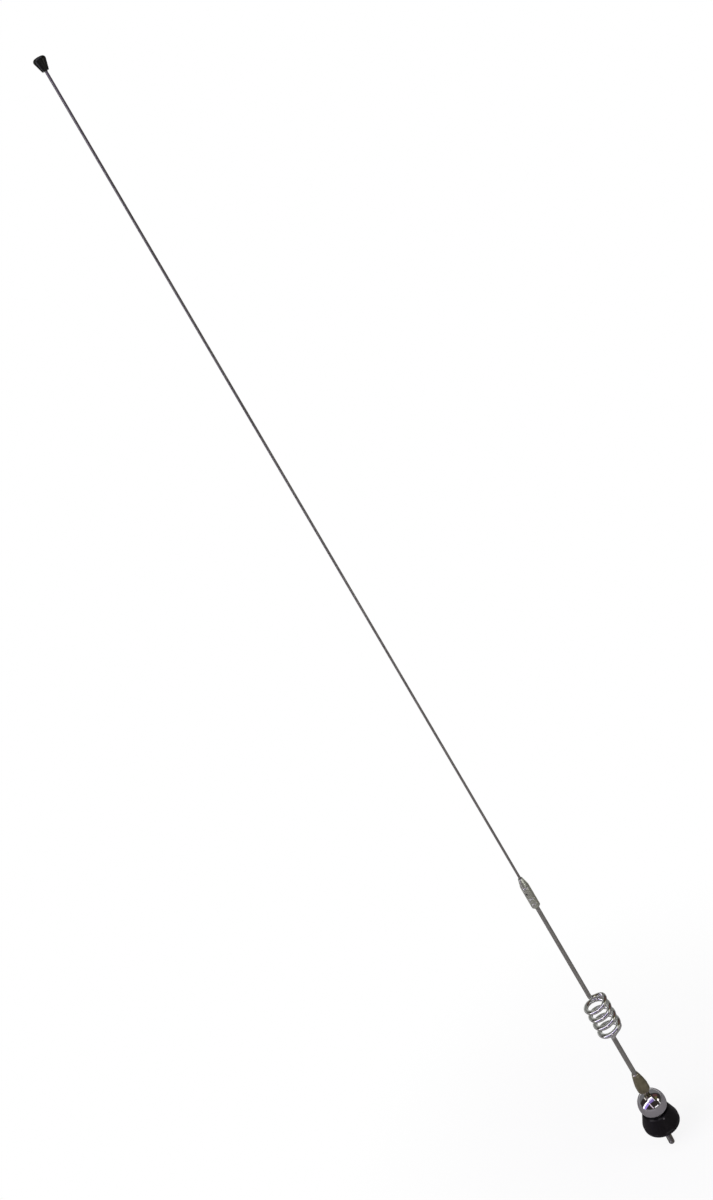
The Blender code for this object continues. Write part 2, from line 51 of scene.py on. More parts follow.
# Foot
FOOT_RADIUS = 0.0187
GASKET_THICKNESS = 0.0018
BUSH_RADIUS = 0.006
BUSH_SPIGOT = 0.0025
BUSH_SEAT_DEPTH = 0.004
CONE_FLOOR = 0.0100
CUP_DEPTH = 0.0058
RIM_WALL = 0.0021
FOOT_LIP = 0.0016
CONE_WALL = 0.0024
BOSS_WALL = 0.0025
CORE_DEPTH = 0.0065
RIB_THICKNESS = 0.0016
RIB_BARS = 3
# Painted highlight: a pale spot painted on the black cone, just under its rim.
PAINTED_HIGHLIGHT_SPOT = (0.0027, -0.0139, 0.0166)  # a pale mark on the cone, just under its rim
PAINTED_HIGHLIGHT_INNER = 0.0005
PAINTED_HIGHLIGHT_OUTER = 0.0012

# Clamp bolt and the washer under its head
BOLT_RADIUS = 0.003
BOLT_REACH = 0.029
BOLT_TIP_CHAMFER = 0.0008
BOLT_HEAD_RADIUS = 0.005
BOLT_HEAD_HEIGHT = 0.0035
SADDLE_RADIUS = 0.007
THREAD_PITCH = 0.001
THREAD_DEPTH = 0.00061
THREAD_ROWS = 8  # rows of points for each turn of the thread
THREAD_CREST = 0.125  # the flat crest's share of the pitch
THREAD_ROOT = 0.25  # the flat root's share of the pitch
THREAD_RUNOUT = 0.002

# Ball
BALL_RADIUS = 0.0143
BALL_WALL = 0.0027
BALL_FLAT_RADIUS = 0.004
REST_LEAN = math.radians(2.5)
LEAN_LIMIT = math.radians(30)

# Ferrule
NECK_RADIUS = 0.0028
NECK_LENGTH = 0.0012
SPIGOT_RADIUS = 0.0025
SPIGOT_STAND = 0.0008
BELLY_RADIUS = 0.00635
LOWER_TAPER = 0.0055
BELLY_LENGTH = 0.0060
UPPER_TAPER = 0.0163
FERRULE_TOP_RADIUS = 0.0032
FERRULE_SOCKET = 0.016
MOUTH_CHAMFER = 0.0006  # where the ferrule was turned down at its mouth
MOUTH_INSET = 0.00042
MOUTH_STEP = 0.00012
TAPER_SWELL = 1.3

# Mast and its coil
MAST_BOTTOM_RADIUS = 0.00245
MAST_TOP_RADIUS = 0.0020
LOWER_ROD_LENGTH = 0.0502
COIL_RADIUS = 0.0107
COIL_PITCH = 0.01057
COIL_TURNS = 3.87
COIL_LEG_HEIGHT = 0.0071
COIL_OFFSET = 0.0015
COIL_BEARING = math.radians(100)
LEG_DROP = 0.0045
LEG_SWEEP = 0.008
UPPER_ROD_LENGTH = 0.1161

# Coupler and its grub screw
COUPLER_LENGTH = 0.0353
COUPLER_RADIUS = 0.0042
NOSE_LENGTH = 0.0088
NOSE_TIP_RADIUS = 0.0022
TAIL_RADIUS = 0.0025
TAIL_CHAMFER = 0.0020
LOW_GROOVE_RISE = 0.0067
GROOVE_SPACING = 0.0062
GROOVE_WIDTH = 0.0007
GROOVE_ROUNDING = 0.0009  # a groove's lower flank is rounded, from the first tilt to the second
GROOVE_TILTS = (math.radians(25), math.radians(65))
GROOVE_POINTS = 6
MAST_SOCKET = 0.010
SCREW_RADIUS = 0.0010
SCREW_SUNK = 0.0001
SCREW_TURN = math.radians(36)
SCREW_MARGIN = 0.0015
HEX_ACROSS_FLATS = 0.0009
HEX_DEPTH = 0.0008

# Whip and tip cap
WHIP_LENGTH = 0.7621
WHIP_TIP_RADIUS = 0.00108
WHIP_BASE_RADIUS = 0.00118
WHIP_IN_CAP = 0.0065
CAP_LENGTH = 0.0100
CAP_RADIUS = 0.0055
CAP_NECK_RADIUS = 0.0026
CAP_CROWN = 0.0005
CAP_EDGE = 0.0020

# How finely the pieces are divided
BALL_STEPS = 144
TURNED_STEPS = 96
ROD_SIDES = 32
FILLET_POINTS = 6
ARC_POINTS = 32
COIL_POINTS_PER_TURN = 72
LEG_POINTS = 28
TAPER_POINTS = 20
ROD_STATIONS = 12
EDGE_BREAK = 0.0003
MOST_SETBACK = 0.45
CUTTER_REACH = 1.3
MERGE = 1e-7
SHARP_ANGLE = math.radians(38)

# Heights of the foot, upwards from the fender
CONE_BOTTOM = GASKET_THICKNESS + SEAT_GAP
CUP_BOTTOM = CONE_BOTTOM + CONE_FLOOR
CUP_RADIUS = BALL_RADIUS + SEAT_GAP
BALL_HEIGHT = CUP_BOTTOM + CUP_RADIUS
RIM_HEIGHT = CUP_BOTTOM + CUP_DEPTH
RIM_DROP = BALL_HEIGHT - RIM_HEIGHT
CUP_EDGE_RADIUS = math.sqrt(CUP_RADIUS**2 - RIM_DROP**2)
RIM_RADIUS = CUP_EDGE_RADIUS + RIM_WALL
BOLT_BORE = BOLT_RADIUS + RUNNING_CLEARANCE

# Heights of the mast, upwards from the ball's centre
BALL_INSIDE = BALL_RADIUS - BALL_WALL
BALL_FLAT = math.sqrt(BALL_RADIUS**2 - BALL_FLAT_RADIUS**2)
FERRULE_BOTTOM = BALL_FLAT + SEAT_GAP
BELLY_BOTTOM = FERRULE_BOTTOM + NECK_LENGTH + LOWER_TAPER
BELLY_TOP = BELLY_BOTTOM + BELLY_LENGTH
FERRULE_TOP = BELLY_TOP + UPPER_TAPER
COIL_BOTTOM = FERRULE_TOP + LOWER_ROD_LENGTH
COIL_HEIGHT = COIL_PITCH * COIL_TURNS + 2 * COIL_LEG_HEIGHT
COIL_TOP = COIL_BOTTOM + COIL_HEIGHT
COUPLER_BOTTOM = COIL_TOP + UPPER_ROD_LENGTH
COUPLER_TOP = COUPLER_BOTTOM + COUPLER_LENGTH
NOSE_SHOULDER = COUPLER_TOP - NOSE_LENGTH
LOW_GROOVE = COUPLER_BOTTOM + LOW_GROOVE_RISE
MIDDLE_GROOVE = LOW_GROOVE + GROOVE_SPACING
TOP_GROOVE = NOSE_SHOULDER - GROOVE_WIDTH
SCREW_HEIGHT = (MIDDLE_GROOVE + TOP_GROOVE) / 2
WHIP_BOTTOM = SCREW_HEIGHT - SCREW_RADIUS - SCREW_MARGIN
CAP_BOTTOM = COUPLER_TOP + WHIP_LENGTH
WHIP_TOP = CAP_BOTTOM + WHIP_IN_CAP
CAP_TOP = CAP_BOTTOM + CAP_LENGTH

# Camera: measured along the mast from the ball's centre, and out from it towards -Y
EYE_RISE = 0.9297
EYE_REACH = 0.9318
AIM_RISE = 0.6088
CAMERA_ROLL = math.radians(30.43)
LENS_MM = 36
SENSOR_MM = 36

UPRIGHT = Matrix.Identity(4)
SWIVEL_PLACE = Matrix.Translation((0.0, 0.0, BALL_HEIGHT))
MAST_PLACE = SWIVEL_PLACE @ Matrix.Rotation(-REST_LEAN, 4, "Y")
MAST_WAY = MAST_PLACE.to_3x3() @ Vector((0.0, 0.0, 1.0))
BALL_CENTRE = Vector((0.0, 0.0, BALL_HEIGHT))

# Where finishes change, in metres
MOUTH_POLISH_START = 0.0012  # below the ferrule's mouth
MOUTH_POLISH_END = 0.00078
# The coil's smoother finish is real; the brighter tone that goes with it is painted light, a lit copy of the
# steel.
POLISH_AND_PAINTED_LIGHT_OUTSIDE = 0.001  # how far the coil's polish runs on, past its ends and into it
POLISH_AND_PAINTED_LIGHT_INSIDE = 0.0015
CUP_RUB_BOTTOM = -0.0095  # the band of the ball that rubs in the cup, from the ball's centre
CUP_RUB_TOP = -0.0065
NOSE_RUB = 0.0022
NOSE_BLEND = 0.001
FOOT_SCUFF = 0.0011
RIM_SCUFF = 0.0009
BELLY_RUB = 0.0005
NECK_GREEN = (0.0008, 0.0035)  # above the ferrule's lower end
FLASH_WIDTH = 0.00012
# Painted shade on the whip: it darkens between these shares of its length, for the dark room it mirrors.
WHIP_PAINTED_SHADE = (0.2, 0.7)  # shares of the whip's length
SHADE_RADIUS = 0.06  # the floor keeps a share of its shade near the foot, and loses it further out
SHADE_REACH = 0.42
SHADE_SHARE = 0.12
FLOOR_TURNS_WHITE = (0.35, 0.9)  # where metal begins to see the floor white, behind the object
FLOOR_RADIUS = 2.4
FLOOR_GAP = 0.0002

# Colours of the room, the floor and the lamps
WHITE = (1.0, 1.0, 1.0)
ROOM_GREY = (0.222, 0.219, 0.220)
DARK_ROOM = (0.045, 0.036, 0.034)
FLOOR_GREY = (0.31, 0.30, 0.295)
PAPER = (0.9, 0.9, 0.9)
LAMP_WHITE = (1.0, 0.985, 1.0)
LAMP_WARM = (1.0, 0.97, 0.88)
LAMP_LILAC = (0.72, 0.62, 1.0)
LAMP_VIOLET = (0.48, 0.34, 1.0)
LAMP_PINK = (1.0, 0.86, 1.0)
LAMP_RED = (1.0, 0.28, 0.26)
LAMP_OLIVE = (1.0, 1.0, 0.25)
LAMP_REACH = 1.7


def place_camera():
    eye = BALL_CENTRE + MAST_WAY * EYE_RISE - Vector((0.0, EYE_REACH, 0.0))
    aim = BALL_CENTRE + MAST_WAY * AIM_RISE
    forward = (aim - eye).normalized()
    mast_in_view = (MAST_WAY - forward * MAST_WAY.dot(forward)).normalized()
    across = forward.cross(mast_in_view)
    up = mast_in_view * math.cos(CAMERA_ROLL) + across * math.sin(CAMERA_ROLL)
    right = forward.cross(up)
    data = bpy.data.cameras.new("camera")
    data.lens = LENS_MM
    data.sensor_width = SENSOR_MM
    data.clip_start = 0.01
    data.clip_end = 50.0
    camera = bpy.data.objects.new("camera", data)
    bpy.context.scene.collection.objects.link(camera)
    turn = Matrix((right, up, -forward)).transposed().to_4x4()
    camera.matrix_world = Matrix.Translation(eye) @ turn
    bpy.context.scene.camera = camera


class Value:
    """A socket's value in a shader. Sums on numbers add Math nodes."""

    def __init__(self, shader, socket):
        self.shader = shader
        self.socket = socket

    def maths(self, operation, *values, clamp=False):
        settings = {"operation": operation, "use_clamp": clamp}
        return self.shader.node("Math", settings, dict(enumerate(values)))

    def __add__(self, other):
        return self.maths("ADD", self, other)

    def __radd__(self, other):
        return self.maths("ADD", other, self)

    def __sub__(self, other):
        return self.maths("SUBTRACT", self, other)

    def __rsub__(self, other):
        return self.maths("SUBTRACT", other, self)

    def __mul__(self, other):
        return self.maths("MULTIPLY", self, other)

    def __rmul__(self, other):
        return self.maths("MULTIPLY", other, self)

    def __truediv__(self, other):
        return self.maths("DIVIDE", self, other)

    def __pow__(self, other):
        return self.maths("POWER", self, other)

    def clamped(self):
        return self.maths("ADD", self, 0.0, clamp=True)

    def sine(self):
        return self.maths("SINE", self)

    def size(self):
        return self.maths("ABSOLUTE", self)

    def above(self, low, high):
        """0 below low and 1 above high, with a smooth rise between."""
        settings = {"interpolation_type": "SMOOTHSTEP"}
        return self.shader.node("MapRange", settings, {"Value": self, "From Min": low, "From Max": high})

    def below(self, low, high):
        return 1 - self.above(low, high)

    def near(self, centre, reach):
        """1 at the centre, falling to 0 at reach to either side."""
        return 1 - (self - centre).size().above(0.0, reach)


class Shader:
    """Builds the nodes of a material or of the world."""

    def __init__(self, owner):
        owner.use_nodes = True
        self.tree = owner.node_tree
        self.tree.nodes.clear()

    def node(self, kind, settings=None, inputs=None, output=0):
        """Adds a node, sets it up, fills or links its sockets, and gives one of its outputs."""
        made = self.tree.nodes.new("ShaderNode" + kind)
        for name, setting in (settings or {}).items():
            setattr(made, name, setting)
        for name, given in (inputs or {}).items():
            if isinstance(given, Value):
                self.tree.links.new(given.socket, made.inputs[name])
            else:
                made.inputs[name].default_value = given
        return Value(self, made.outputs[output]) if len(made.outputs) else None

    def place(self):
        return self.node("TexCoord", output="Object")

    def parts_of(self, vector):
        """The three numbers of a vector."""
        first = self.node("SeparateXYZ", None, {0: vector})
        sockets = first.socket.node.outputs
        return [Value(self, socket) for socket in sockets]

    def vector(self, x, y, z):
        return self.node("CombineXYZ", None, {0: x, 1: y, 2: z})

    def noise(self, vector, scale, detail=3.0, roughness=0.55):
        inputs = {"Vector": vector, "Scale": scale, "Detail": detail, "Roughness": roughness}
        return self.node("TexNoise", None, inputs)

    def height(self):
        return self.parts_of(self.place())[2]

    def rays(self):
        """1 for rays from the camera, and 1 for rays that metal or glass sends on."""
        from_camera = self.node("LightPath", output="Is Camera Ray")
        outputs = from_camera.socket.node.outputs
        sent_on = [Value(self, outputs[name]) for name in ("Is Glossy Ray", "Is Transmission Ray")]
        return from_camera, sent_on[0] + sent_on[1]

    def stretched(self, scales):
        """The place on the piece, with each axis scaled by its own number."""
        inputs = {0: self.place(), 1: scales}
        return self.node("VectorMath", {"operation": "MULTIPLY"}, inputs)

    def blend(self, share, first, second):
        """A colour between two others."""
        first, second = (
            colour if isinstance(colour, Value) else (*colour, 1.0) for colour in (first, second)
        )
        inputs = {0: share, 6: first, 7: second}
        return self.node("Mix", {"data_type": "RGBA"}, inputs, output=2)

    def relief(self, height, depth, strength=1.0):
        return self.node("Bump", None, {"Height": height, "Distance": depth, "Strength": strength})

    def surface(self, **inputs):
        """The Principled shader, from its sockets' names with underscores for spaces."""
        named = {}
        for name, given in inputs.items():
            socket_name = name.replace("_", " ").title().replace("Ior", "IOR")
            is_colour = isinstance(given, tuple) and len(given) == 3
            named[socket_name] = (*given, 1.0) if is_colour else given
        body = self.node("BsdfPrincipled", None, named)
        self.node("OutputMaterial", None, {"Surface": body})


def new_shader(name):
    material = bpy.data.materials.new(name)
    return material, Shader(material)


def gasket_rubber():
    material, shader = new_shader("gasket rubber")
    grain = shader.noise(shader.place(), 2600.0)
    dust = shader.noise(shader.place(), 260.0, detail=5.0).above(0.5, 0.72)
    shader.surface(
        base_color=shader.blend(dust * 0.5, (0.012, 0.012, 0.013), (0.034, 0.033, 0.031)),
        roughness=0.62 + grain * 0.2,
        normal=shader.relief(grain, 0.00006, 0.6),
        specular_ior_level=0.35,
    )
    return material


def natural_nylon():
    material, shader = new_shader("natural nylon")
    z = shader.height()
    cloud = shader.noise(shader.place(), 420.0)
    lathe = (z * 31000.0 + cloud * 4.0).sine()
    shader.surface(
        base_color=shader.blend(cloud, (0.62, 0.59, 0.50), (0.74, 0.72, 0.64)),
        roughness=0.42 + cloud * 0.12,
        normal=shader.relief(lathe, 0.00001, 0.5),
    )
    return material


def cone_plastic():
    """Black moulded plastic: satin, with flow streaks down its slope and scuffs on its edges."""
    material, shader = new_shader("black moulded plastic")
    x, y, z = shader.parts_of(shader.place())
    out = (x * x + y * y) ** 0.5
    streak_way = shader.vector(x / (out + 0.0001), y / (out + 0.0001), z * 9.0)
    streaks = shader.noise(streak_way, 17.0, detail=4.0)
    grain = shader.noise(shader.place(), 3400.0)
    patch = shader.noise(shader.place(), 190.0, detail=5.0)
    foot_edge = z.near(CONE_BOTTOM + FOOT_LIP, FOOT_SCUFF)
    rim_edge = z.near(RIM_HEIGHT, RIM_SCUFF)
    scuffs = (foot_edge + rim_edge).clamped() * patch.above(0.47, 0.66)
    # Painted highlight: a pale spot at a fixed place on the cone, just under its rim, standing for a
    # highlight.
    from_painted_highlight = shader.node(
        "VectorMath", {"operation": "DISTANCE"}, {0: shader.place(), 1: PAINTED_HIGHLIGHT_SPOT}, output="Value"
    )
    rub_wear_and_painted_highlight = from_painted_highlight.below(PAINTED_HIGHLIGHT_INNER, PAINTED_HIGHLIGHT_OUTER)
    black = shader.blend(streaks.above(0.35, 0.75), (0.0028, 0.0022, 0.0028), (0.006, 0.005, 0.006))
    worn = shader.blend(scuffs * 0.6, black, (0.05, 0.048, 0.048))
    shader.surface(
        base_color=shader.blend(rub_wear_and_painted_highlight, worn, (0.105, 0.100, 0.105)),
        roughness=0.31 + streaks * 0.16 + patch * 0.08 + scuffs * 0.15,
        normal=shader.relief(grain * 0.6 + streaks * 0.4, 0.00005, 0.5),
        specular_ior_level=0.22,
    )
    return material


def zinc_plate():
    """Dull zinc plate, darker and rougher in the thread's roots."""
    material, shader = new_shader("dull zinc plate")
    x, y, z = shader.parts_of(shader.place())
    out = (x * x + y * y) ** 0.5
    spangle = shader.node(
        "TexVoronoi", {"feature": "F1"}, {"Vector": shader.place(), "Scale": 1500.0}, output="Distance"
    )
    cloud = shader.noise(shader.place(), 520.0, detail=4.0)
    root = out.below(BOLT_RADIUS - THREAD_DEPTH, BOLT_RADIUS - 0.0001)
    plate = shader.blend(cloud.above(0.3, 0.7), (0.375, 0.38, 0.33), (0.535, 0.545, 0.48))
    shader.surface(
        base_color=shader.blend(root * 0.45, plate, (0.16, 0.15, 0.135)),
        metallic=1.0,
        roughness=0.30 + spangle * 0.14 + root * 0.12 + cloud * 0.08,
        normal=shader.relief(cloud, 0.00002, 0.5),
    )
    return material


def ball_chrome():
    """Polished chrome with a faint haze, fine wiping marks, and rub marks where it turns in the cup."""
    material, shader = new_shader("polished chrome")
    z = shader.height()
    haze = shader.noise(shader.place(), 110.0, detail=4.0)
    wiping = shader.noise(shader.stretched((260.0, 900.0, 2600.0)), 1.0, detail=2.0)
    rub_wear_and_painted_highlight = z.below(CUP_RUB_BOTTOM, CUP_RUB_TOP) * shader.noise(shader.stretched((90.0, 90.0, 5200.0)), 1.0)
    chrome = shader.blend(haze, (0.60, 0.595, 0.61), (0.68, 0.675, 0.69))
    shader.surface(
        base_color=shader.blend(rub_wear_and_painted_highlight * 0.5, chrome, (0.42, 0.41, 0.40)),
        metallic=1.0,
        roughness=0.015 + haze.above(0.5, 0.85) * 0.03 + wiping.above(0.6, 0.8) * 0.03 + rub_wear_and_painted_highlight * 0.2,
        normal=shader.relief(haze, 0.00002, 0.25),
    )
    return material


def ferrule_brass():
    """Turned brass whose plating has dulled to olive, with lathe rings and rubbed bright edges."""
    material, shader = new_shader("dulled turned brass")
    z = shader.height()
    tarnish = shader.noise(shader.stretched((240.0, 240.0, 120.0)), 1.0, detail=5.0)
    rings = (z * 26000.0 + tarnish * 3.0).sine()
    mouth = z.above(FERRULE_TOP - MOUTH_POLISH_START, FERRULE_TOP - MOUTH_POLISH_END)
    belly_edge = z.near(BELLY_BOTTOM, BELLY_RUB)
    neck = (z - FERRULE_BOTTOM).below(*NECK_GREEN)
    olive = shader.blend(tarnish.above(0.3, 0.7), (0.27, 0.25, 0.15), (0.42, 0.39, 0.26))
    dulled = shader.blend(neck * 0.7, olive, (0.20, 0.215, 0.10))
    bright = (mouth + belly_edge * 0.55).clamped()
    shader.surface(
        base_color=shader.blend(bright, dulled, (0.66, 0.63, 0.52)),
        metallic=1.0,
        roughness=0.27 + tarnish * 0.2 - bright * 0.2,
        normal=shader.relief(rings + tarnish, 0.000006, 0.6),
    )
    return material


def mast_steel():
    """Steel rod, drawn grey; smoother where it is wound, where its brighter tone is painted light."""
    material, shader = new_shader("drawn mast steel")
    z = shader.height()
    over_bottom = z.above(COIL_BOTTOM - POLISH_AND_PAINTED_LIGHT_OUTSIDE, COIL_BOTTOM + POLISH_AND_PAINTED_LIGHT_INSIDE)
    in_coil = over_bottom * z.below(COIL_TOP - POLISH_AND_PAINTED_LIGHT_INSIDE, COIL_TOP + POLISH_AND_PAINTED_LIGHT_OUTSIDE)
    draw_lines = shader.noise(shader.stretched((2600.0, 2600.0, 24.0)), 1.0)
    cloud = shader.noise(shader.stretched((300.0, 300.0, 90.0)), 1.0, detail=5.0)
    polish = shader.noise(shader.place(), 700.0)
    grey = shader.blend(cloud.above(0.3, 0.7), (0.425, 0.43, 0.385), (0.525, 0.53, 0.475))
    # Painted light: the wound coil gets a brighter, lit copy of the rods' steel, for the highlights it
    # catches.
    bright = shader.blend(polish, (0.71, 0.73, 0.68), (0.83, 0.85, 0.80))
    shader.surface(
        base_color=shader.blend(in_coil, grey, bright),
        metallic=1.0,
        roughness=(0.29 + draw_lines * 0.14) * (1 - in_coil) + (0.09 + polish * 0.08) * in_coil,
        normal=shader.relief(draw_lines * (1 - in_coil) + polish * in_coil * 0.3, 0.00001, 0.6),
    )
    return material


def coupler_steel():
    """Turned stainless steel, olive grey, with fine lathe rings and bright grooves."""
    material, shader = new_shader("turned coupler steel")
    z = shader.height()
    cloud = shader.noise(shader.stretched((420.0, 420.0, 160.0)), 1.0, detail=5.0)
    rings = (z * 42000.0 + cloud * 5.0).sine()
    top, middle, low = (z.near(height, GROOVE_WIDTH) for height in (TOP_GROOVE, MIDDLE_GROOVE, LOW_GROOVE))
    grooves = (top + middle + low).clamped()
    steel = shader.blend(cloud.above(0.3, 0.7), (0.60, 0.63, 0.53), (0.72, 0.75, 0.63))
    nose_rub = z.above(COUPLER_TOP - NOSE_RUB, COUPLER_TOP)
    nose = z.above(NOSE_SHOULDER, NOSE_SHOULDER + NOSE_BLEND)
    shader.surface(
        base_color=shader.blend((grooves + nose_rub * 0.6).clamped(), steel, (0.86, 0.88, 0.80)),
        metallic=1.0,
        roughness=0.27 + cloud * 0.14 - grooves * 0.18 - nose * 0.12,
        normal=shader.relief(rings, 0.000004, 0.6),
    )
    return material


def whip_steel():
    """Centreless-ground steel: a fine spiral grain, faint long patches, and painted shade on its upper part.
    """
    material, shader = new_shader("ground whip steel")
    z = shader.height()
    patches = shader.noise(shader.stretched((60.0, 60.0, 22.0)), 1.0, detail=5.0).above(0.3, 0.7)
    grain = shader.noise(shader.stretched((500.0, 500.0, 9000.0)), 1.0)
    # Painted shade: the whip grows darker towards its tip, standing for the dark room it mirrors there.
    painted_shade_share = ((z - COUPLER_TOP) / WHIP_LENGTH).above(*WHIP_PAINTED_SHADE)
    unshaded_tone = shader.blend(patches, (0.33, 0.32, 0.30), (0.43, 0.42, 0.39))
    painted_shade_tone = shader.blend(patches, (0.17, 0.165, 0.155), (0.25, 0.245, 0.23))
    shader.surface(
        base_color=shader.blend(painted_shade_share, unshaded_tone, painted_shade_tone),
        metallic=1.0,
        roughness=0.28 + grain * 0.16,
        normal=shader.relief(grain, 0.000008, 0.6),
    )
    return material


def cap_rubber():
    """Smooth black rubber with a slight sheen and the flash line of its mould."""
    material, shader = new_shader("smooth black rubber")
    x, _, _ = shader.parts_of(shader.place())
    grain = shader.noise(shader.place(), 1900.0)
    smear = shader.noise(shader.place(), 330.0, detail=5.0)
    flash = x.near(0.0, FLASH_WIDTH)
    shader.surface(
        base_color=shader.blend(smear.above(0.45, 0.75), (0.0030, 0.0032, 0.0020), (0.0070, 0.0074, 0.0056)),
        roughness=0.19 + smear * 0.14 + flash * 0.2,
        normal=shader.relief(grain * 0.4 + flash, 0.00004, 0.5),
        specular_ior_level=0.24,
    )
    return material


def stage_floor_paper():
    """White paper to the camera, with a share of its true shade near the foot, which keeps the shadow.

    Metal and glass see it white too, behind the object; before the object they see the paper's own shade."""
    material, shader = new_shader("studio paper")
    x, y, z = shader.parts_of(shader.place())
    out = (x * x + y * y) ** 0.5
    from_camera, sent_on = shader.rays()
    shade_kept = out.below(SHADE_RADIUS, SHADE_REACH) * SHADE_SHARE
    mirrored = sent_on * y.above(*FLOOR_TURNS_WHITE)
    white_share = (from_camera * (1 - shade_kept) + mirrored).clamped()
    paper = shader.blend(from_camera, FLOOR_GREY, PAPER)
    matt = shader.node("BsdfDiffuse", None, {"Color": paper})
    glow = shader.node("Emission", None, {"Color": (*WHITE, 1.0), "Strength": 1.0})
    both = shader.node("MixShader", None, {0: white_share, 1: matt, 2: glow})
    shader.node("OutputMaterial", None, {"Surface": both})
    return material


def lay_floor():
    work = bmesh.new()
    bmesh.ops.create_circle(work, cap_ends=True, segments=TURNED_STEPS, radius=FLOOR_RADIUS)
    mesh = bpy.data.meshes.new("studio_floor")
    work.to_mesh(mesh)
    work.free()
    floor = bpy.data.objects.new("studio_floor", mesh)
    floor.location = (0.0, 0.0, -BOLT_REACH - FLOOR_GAP)
    mesh.materials.append(stage_floor_paper())
    bpy.context.scene.collection.objects.link(floor)


def light_room():
    """White to the camera. Metal sees a grey room instead, which is dark behind the camera.

    Low down behind the object, metal sees the white backdrop too."""
    world = bpy.data.worlds.new("room")
    bpy.context.scene.world = world
    shader = Shader(world)
    way = shader.node("TexCoord", output="Generated")
    x, y, z = shader.parts_of(way)

    backdrop = y.above(0.90, 0.96) * z.below(0.0, 0.3)
    behind_camera = z.above(0.0, 0.12) * y.below(0.40, 0.52)
    room = shader.blend(behind_camera, ROOM_GREY, DARK_ROOM)
    from_camera, sent_on = shader.rays()
    colour = shader.blend((from_camera + sent_on * backdrop).clamped(), room, WHITE)
    sky = shader.node("Background", None, {"Color": colour, "Strength": 1.0})
    shader.node("OutputWorld", None, {"Surface": sky})


def hang_lamp(name, way, size, twist, brightness, colour, mirrored=True):
    """A panel that faces the ball from the given way, turned by a twist in degrees.

    Its brightness is what a mirror shows of it, where 1 is white. With mirrored=False the metal
    doesn't see it, and it only lights the matt pieces."""
    data = bpy.data.lights.new(name, "AREA")
    data.shape = "RECTANGLE"
    data.size, data.size_y = size
    data.energy = brightness * math.pi * size[0] * size[1]
    data.color = colour
    lamp = bpy.data.objects.new(name, data)
    bpy.context.scene.collection.objects.link(lamp)
    unit = Vector(way).normalized()
    turn = unit.to_track_quat("Z", "Y").to_matrix().to_4x4() @ Matrix.Rotation(math.radians(twist), 4, "Z")
    lamp.matrix_world = Matrix.Translation(BALL_CENTRE + unit * LAMP_REACH) @ turn
    lamp.visible_camera = False
    lamp.visible_glossy = mirrored


def hang_lamps():
    """Soft light from the left and the right, and the panels, strips and windows that the metal mirrors."""
    hang_lamp("soft_key", (-0.55, -0.45, 0.70), (1.60, 1.20), 0, 2.9, WHITE, mirrored=False)
    hang_lamp("soft_fill", (0.60, -0.60, 0.50), (1.20, 1.20), 0, 1.2, WHITE, mirrored=False)
    hang_lamp("left_box", (-0.81, -0.25, 0.54), (2.49, 0.23), 67, 3.4, LAMP_WHITE)
    hang_lamp("overhead_box", (-0.04, -0.15, 0.99), (1.14, 0.20), 25, 3.4, LAMP_WHITE)
    hang_lamp("left_panel", (-0.80, -0.43, 0.42), (2.08, 0.48), 58, 1.04, LAMP_VIOLET)
    hang_lamp("overhead_panel", (-0.01, -0.31, 0.95), (1.17, 0.30), 12, 1.34, LAMP_LILAC)
    hang_lamp("violet_panel", (0.03, -0.52, 0.86), (1.19, 0.49), 8, 0.62, LAMP_VIOLET)
    hang_lamp("overhead_edge", (0.38, -0.31, 0.87), (1.21, 0.16), -116, 0.9, LAMP_WHITE)
    hang_lamp("front_strip", (-0.31, -0.81, 0.50), (1.66, 0.23), -63, 0.95, LAMP_PINK)
    hang_lamp("right_window", (0.81, -0.40, 0.42), (0.45, 0.41), -168, 2.0, LAMP_WARM)
    hang_lamp("right_strip", (0.81, -0.58, 0.09), (0.75, 0.17), -96, 0.9, LAMP_WHITE)
    hang_lamp("low_strip", (0.31, -0.94, 0.13), (0.94, 0.20), -3, 1.6, LAMP_WHITE)
    hang_lamp("back_strip", (-0.49, 0.20, 0.85), (0.77, 0.21), 28, 1.0, LAMP_WARM)
    hang_lamp("red_panel", (0.71, 0.12, 0.70), (0.95, 0.52), -88, 0.10, LAMP_RED)
    hang_lamp("olive_panel", (0.73, -0.19, 0.66), (0.58, 0.50), -72, 0.14, LAMP_OLIVE)


def filleted(corners, closed=False, points=FILLET_POINTS):
    """An outline of (radius, height, fillet) corners, with an arc at each corner that has a fillet."""
    outline = []
    count = len(corners)
    for index, (radius, height, fillet) in enumerate(corners):
        corner = Vector((radius, height))
        at_end = not closed and index in (0, count - 1)
        if fillet <= 0 or at_end:
            outline.append(corner)
            continue
        before = Vector(corners[index - 1][:2]) - corner
        after = Vector(corners[(index + 1) % count][:2]) - corner
        half = before.angle(after) / 2
        setback = min(fillet / math.tan(half), MOST_SETBACK * before.length, MOST_SETBACK * after.length)
        fillet = setback * math.tan(half)
        centre = corner + (before.normalized() + after.normalized()).normalized() * fillet / math.sin(half)
        start = corner + before.normalized() * setback - centre
        end = corner + after.normalized() * setback - centre
        turn = start.angle_signed(end)
        for step in range(points + 1):
            share = turn * step / points
            cosine, sine = math.cos(share), math.sin(share)
            arm = Vector((start.x * cosine + start.y * sine, start.y * cosine - start.x * sine))
            outline.append(centre + arm)
    return [tuple(point) for point in outline]


def sphere_arc(radius, start_radius, end_radius, below, centre_height=0.0, points=ARC_POINTS):
    """Points of a sphere's section between two distances from its axis, below or above its centre."""
    first = math.asin(min(1.0, start_radius / radius))
    last = math.asin(min(1.0, end_radius / radius))
    side = -1 if below else 1
    arc = []
    for step in range(points + 1):
        angle = first + (last - first) * step / points
        arc.append((radius * math.sin(angle), centre_height + side * radius * math.cos(angle)))
    return arc


